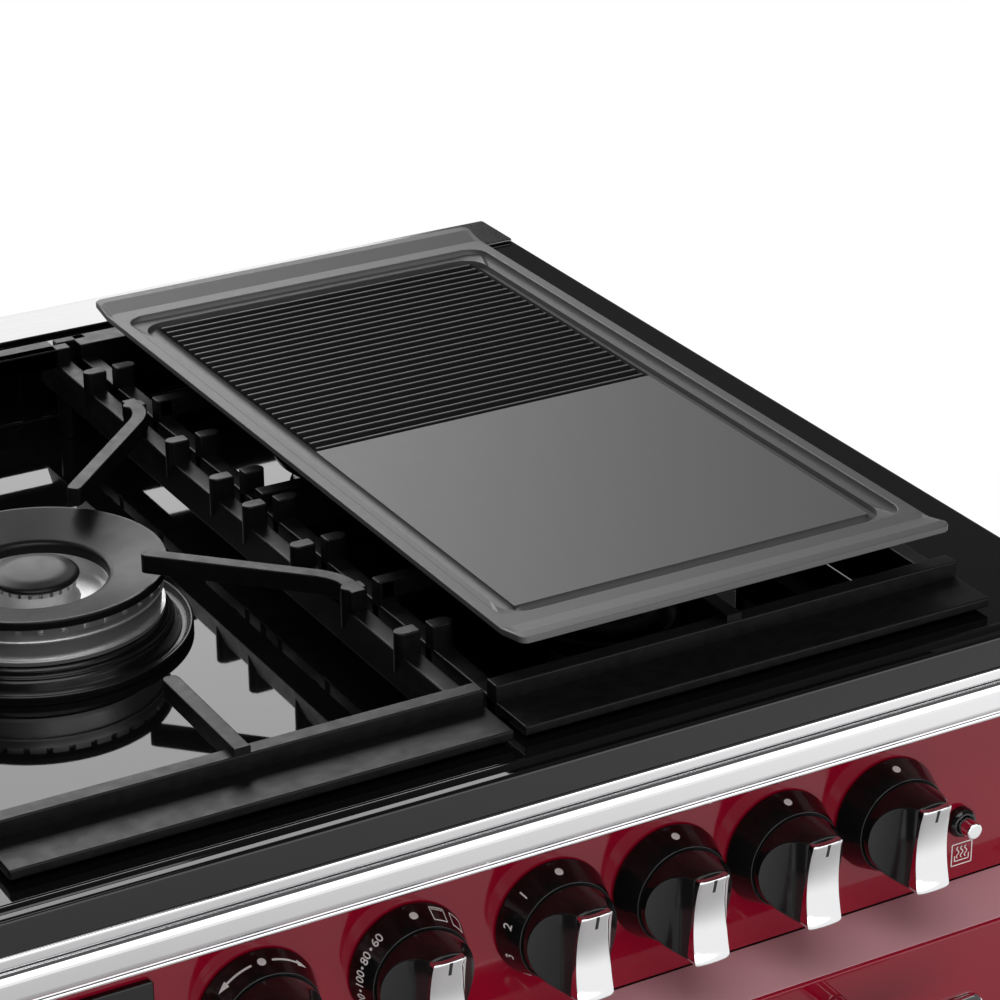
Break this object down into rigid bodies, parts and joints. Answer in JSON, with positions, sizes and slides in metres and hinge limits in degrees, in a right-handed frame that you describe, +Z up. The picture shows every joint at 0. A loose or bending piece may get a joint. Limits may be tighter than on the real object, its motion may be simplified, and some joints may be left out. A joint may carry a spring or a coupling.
{
  "type": "range cooker",
  "caption": "Free-standing range cooker with a gas hob, wok burner, lift-off griddle and pan supports, knobs, ovens, a grill and a storage drawer.",
  "frame": {"origin": "on the floor below the middle of the whole cooker", "axes": "+X to the cooker's right seen from the front, +Y to its back, +Z up"},
  "size_m": [0.9, 0.683, 0.945],
  "materials": {
    "red_enamel": "gloss vitreous enamel, cranberry red",
    "black_enamel": "satin black enamel",
    "gloss_enamel": "mirror-gloss black enamel",
    "oven_enamel": "dark grey speckled oven enamel",
    "cast_iron": "matt black enamelled cast iron",
    "griddle_coating": "cast aluminium with a dark grey non-stick coating",
    "chrome": "polished chrome",
    "stainless": "brushed stainless steel",
    "zinc_steel": "zinc-coated sheet steel",
    "element_steel": "dark heat-stained steel sheath",
    "burner_aluminium": "bare cast aluminium",
    "brass": "machined brass",
    "gloss_black": "gloss black moulding",
    "display_black": "black display glass",
    "grey_plastic": "grey moulded plastic",
    "ceramic": "white ceramic",
    "rubber_seal": "dark woven and rubber door seal"
  },
  "bodies": {
    "cooker": {"side_panels": "black_enamel", "back_panel": "zinc_steel", "base_frame": "zinc_steel", "levelling_feet": "zinc_steel", "plinth": "black_enamel", "front_frame": "black_enamel", "door_seals": "rubber_seal", "door_hinges": "zinc_steel", "main_oven_liner": "oven_enamel", "tall_oven_liner": "oven_enamel", "grill_liner": "oven_enamel", "oven_shelves": "chrome", "grill_pan": "oven_enamel", "heating_elements": "element_steel", "fan_motors": "zinc_steel", "fan_covers": "oven_enamel", "drawer_runners": "zinc_steel", "trim_rail": "chrome", "control_panel": "red_enamel", "clock_display": "display_black", "button_bezel": "gloss_black", "control_valves": "brass", "gas_rail": "zinc_steel", "hob_top": "gloss_enamel", "rear_trim": "stainless", "burner_bases": "black_enamel", "burner_heads": "burner_aluminium", "burner_caps": "black_enamel", "spark_electrodes": "ceramic", "gas_inlet": "brass", "terminal_box": "grey_plastic"},
    "push_button": {"push_button": "chrome"},
    "main_door": {"main_door_skin": "red_enamel", "main_door_inner": "oven_enamel", "main_door_handle": "chrome"},
    "tall_door": {"tall_door_skin": "red_enamel", "tall_door_inner": "oven_enamel", "tall_door_handle": "chrome"},
    "grill_door": {"grill_door_skin": "red_enamel", "grill_door_inner": "oven_enamel", "grill_door_handle": "chrome"},
    "drawer": {"drawer_front": "red_enamel", "drawer_box": "zinc_steel", "drawer_handle": "chrome"},
    "left_support": {"left_pan_support": "cast_iron"},
    "centre_support": {"centre_pan_support": "cast_iron"},
    "right_support": {"right_pan_support": "cast_iron"},
    "griddle": {"griddle": "griddle_coating"},
    "main_fan": {"main_oven_fan": "zinc_steel"},
    "tall_fan": {"tall_oven_fan": "zinc_steel"},
    "knob_1": {"knob_1": "gloss_black"},
    "knob_2": {"knob_2": "gloss_black"},
    "knob_3": {"knob_3": "gloss_black"},
    "knob_4": {"knob_4": "gloss_black"},
    "knob_5": {"knob_5": "gloss_black"},
    "knob_6": {"knob_6": "gloss_black"},
    "knob_7": {"knob_7": "gloss_black"},
    "knob_8": {"knob_8": "gloss_black"}
  },
  "joints": [
    {"name": "knob_1_turn", "type": "hinge", "parent": "cooker", "child": "knob_1", "pos_m": [-0.0099, -0.2635, 0.806], "axis": [0, -1, 0], "range_deg": [-90, 90]},
    {"name": "knob_2_turn", "type": "hinge", "parent": "cooker", "child": "knob_2", "pos_m": [0.0671, -0.2635, 0.806], "axis": [0, -1, 0], "range_deg": [-250, 75]},
    {"name": "knob_3_turn", "type": "hinge", "parent": "cooker", "child": "knob_3", "pos_m": [0.1441, -0.2635, 0.806], "axis": [0, -1, 0], "range_deg": [-270, 0]},
    {"name": "knob_4_turn", "type": "hinge", "parent": "cooker", "child": "knob_4", "pos_m": [0.2084, -0.2635, 0.806], "axis": [0, -1, 0], "range_deg": [0, 210]},
    {"name": "knob_5_turn", "type": "hinge", "parent": "cooker", "child": "knob_5", "pos_m": [0.2727, -0.2635, 0.806], "axis": [0, -1, 0], "range_deg": [0, 210]},
    {"name": "knob_6_turn", "type": "hinge", "parent": "cooker", "child": "knob_6", "pos_m": [0.337, -0.2635, 0.806], "axis": [0, -1, 0], "range_deg": [0, 210]},
    {"name": "knob_7_turn", "type": "hinge", "parent": "cooker", "child": "knob_7", "pos_m": [-0.2727, -0.2635, 0.806], "axis": [0, -1, 0], "range_deg": [0, 210]},
    {"name": "knob_8_turn", "type": "hinge", "parent": "cooker", "child": "knob_8", "pos_m": [-0.337, -0.2635, 0.806], "axis": [0, -1, 0], "range_deg": [0, 210]},
    {"name": "push_button_press", "type": "slide", "parent": "cooker", "child": "push_button", "axis": [0, 1, 0], "range_m": [0, 0.003], "stiffness_N_per_m": 400},
    {"name": "main_door_swing", "type": "hinge", "parent": "cooker", "child": "main_door", "pos_m": [-0.434, -0.2795, 0.197], "axis": [0, 0, -1], "range_deg": [0, 100]},
    {"name": "tall_door_swing", "type": "hinge", "parent": "cooker", "child": "tall_door", "pos_m": [0.434, -0.2795, 0.105], "axis": [0, 0, 1], "range_deg": [0, 100]},
    {"name": "grill_door_drop", "type": "hinge", "parent": "cooker", "child": "grill_door", "pos_m": [-0.22325, -0.2865, 0.598], "axis": [1, 0, 0], "range_deg": [0, 90]},
    {"name": "drawer_slide", "type": "slide", "parent": "cooker", "child": "drawer", "axis": [0, -1, 0], "range_m": [0, 0.35]},
    {"name": "left_support_lift", "type": "slide", "parent": "cooker", "child": "left_support", "axis": [0, 0, 1], "range_m": [0, 0.15]},
    {"name": "centre_support_lift", "type": "slide", "parent": "cooker", "child": "centre_support", "axis": [0, 0, 1], "range_m": [0, 0.15]},
    {"name": "right_support_lift", "type": "slide", "parent": "cooker", "child": "right_support", "axis": [0, 0, 1], "range_m": [0, 0.15]},
    {"name": "griddle_lift", "type": "slide", "parent": "right_support", "child": "griddle", "axis": [0, 0, 1], "range_m": [0, 0.15]},
    {"name": "main_fan_spin", "type": "hinge", "parent": "cooker", "child": "main_fan", "pos_m": [-0.22325, 0.2235, 0.3865], "axis": [0, 1, 0], "continuous": true},
    {"name": "tall_fan_spin", "type": "hinge", "parent": "cooker", "child": "tall_fan", "pos_m": [0.22325, 0.2235, 0.4255], "axis": [0, 1, 0], "continuous": true}
  ]
}
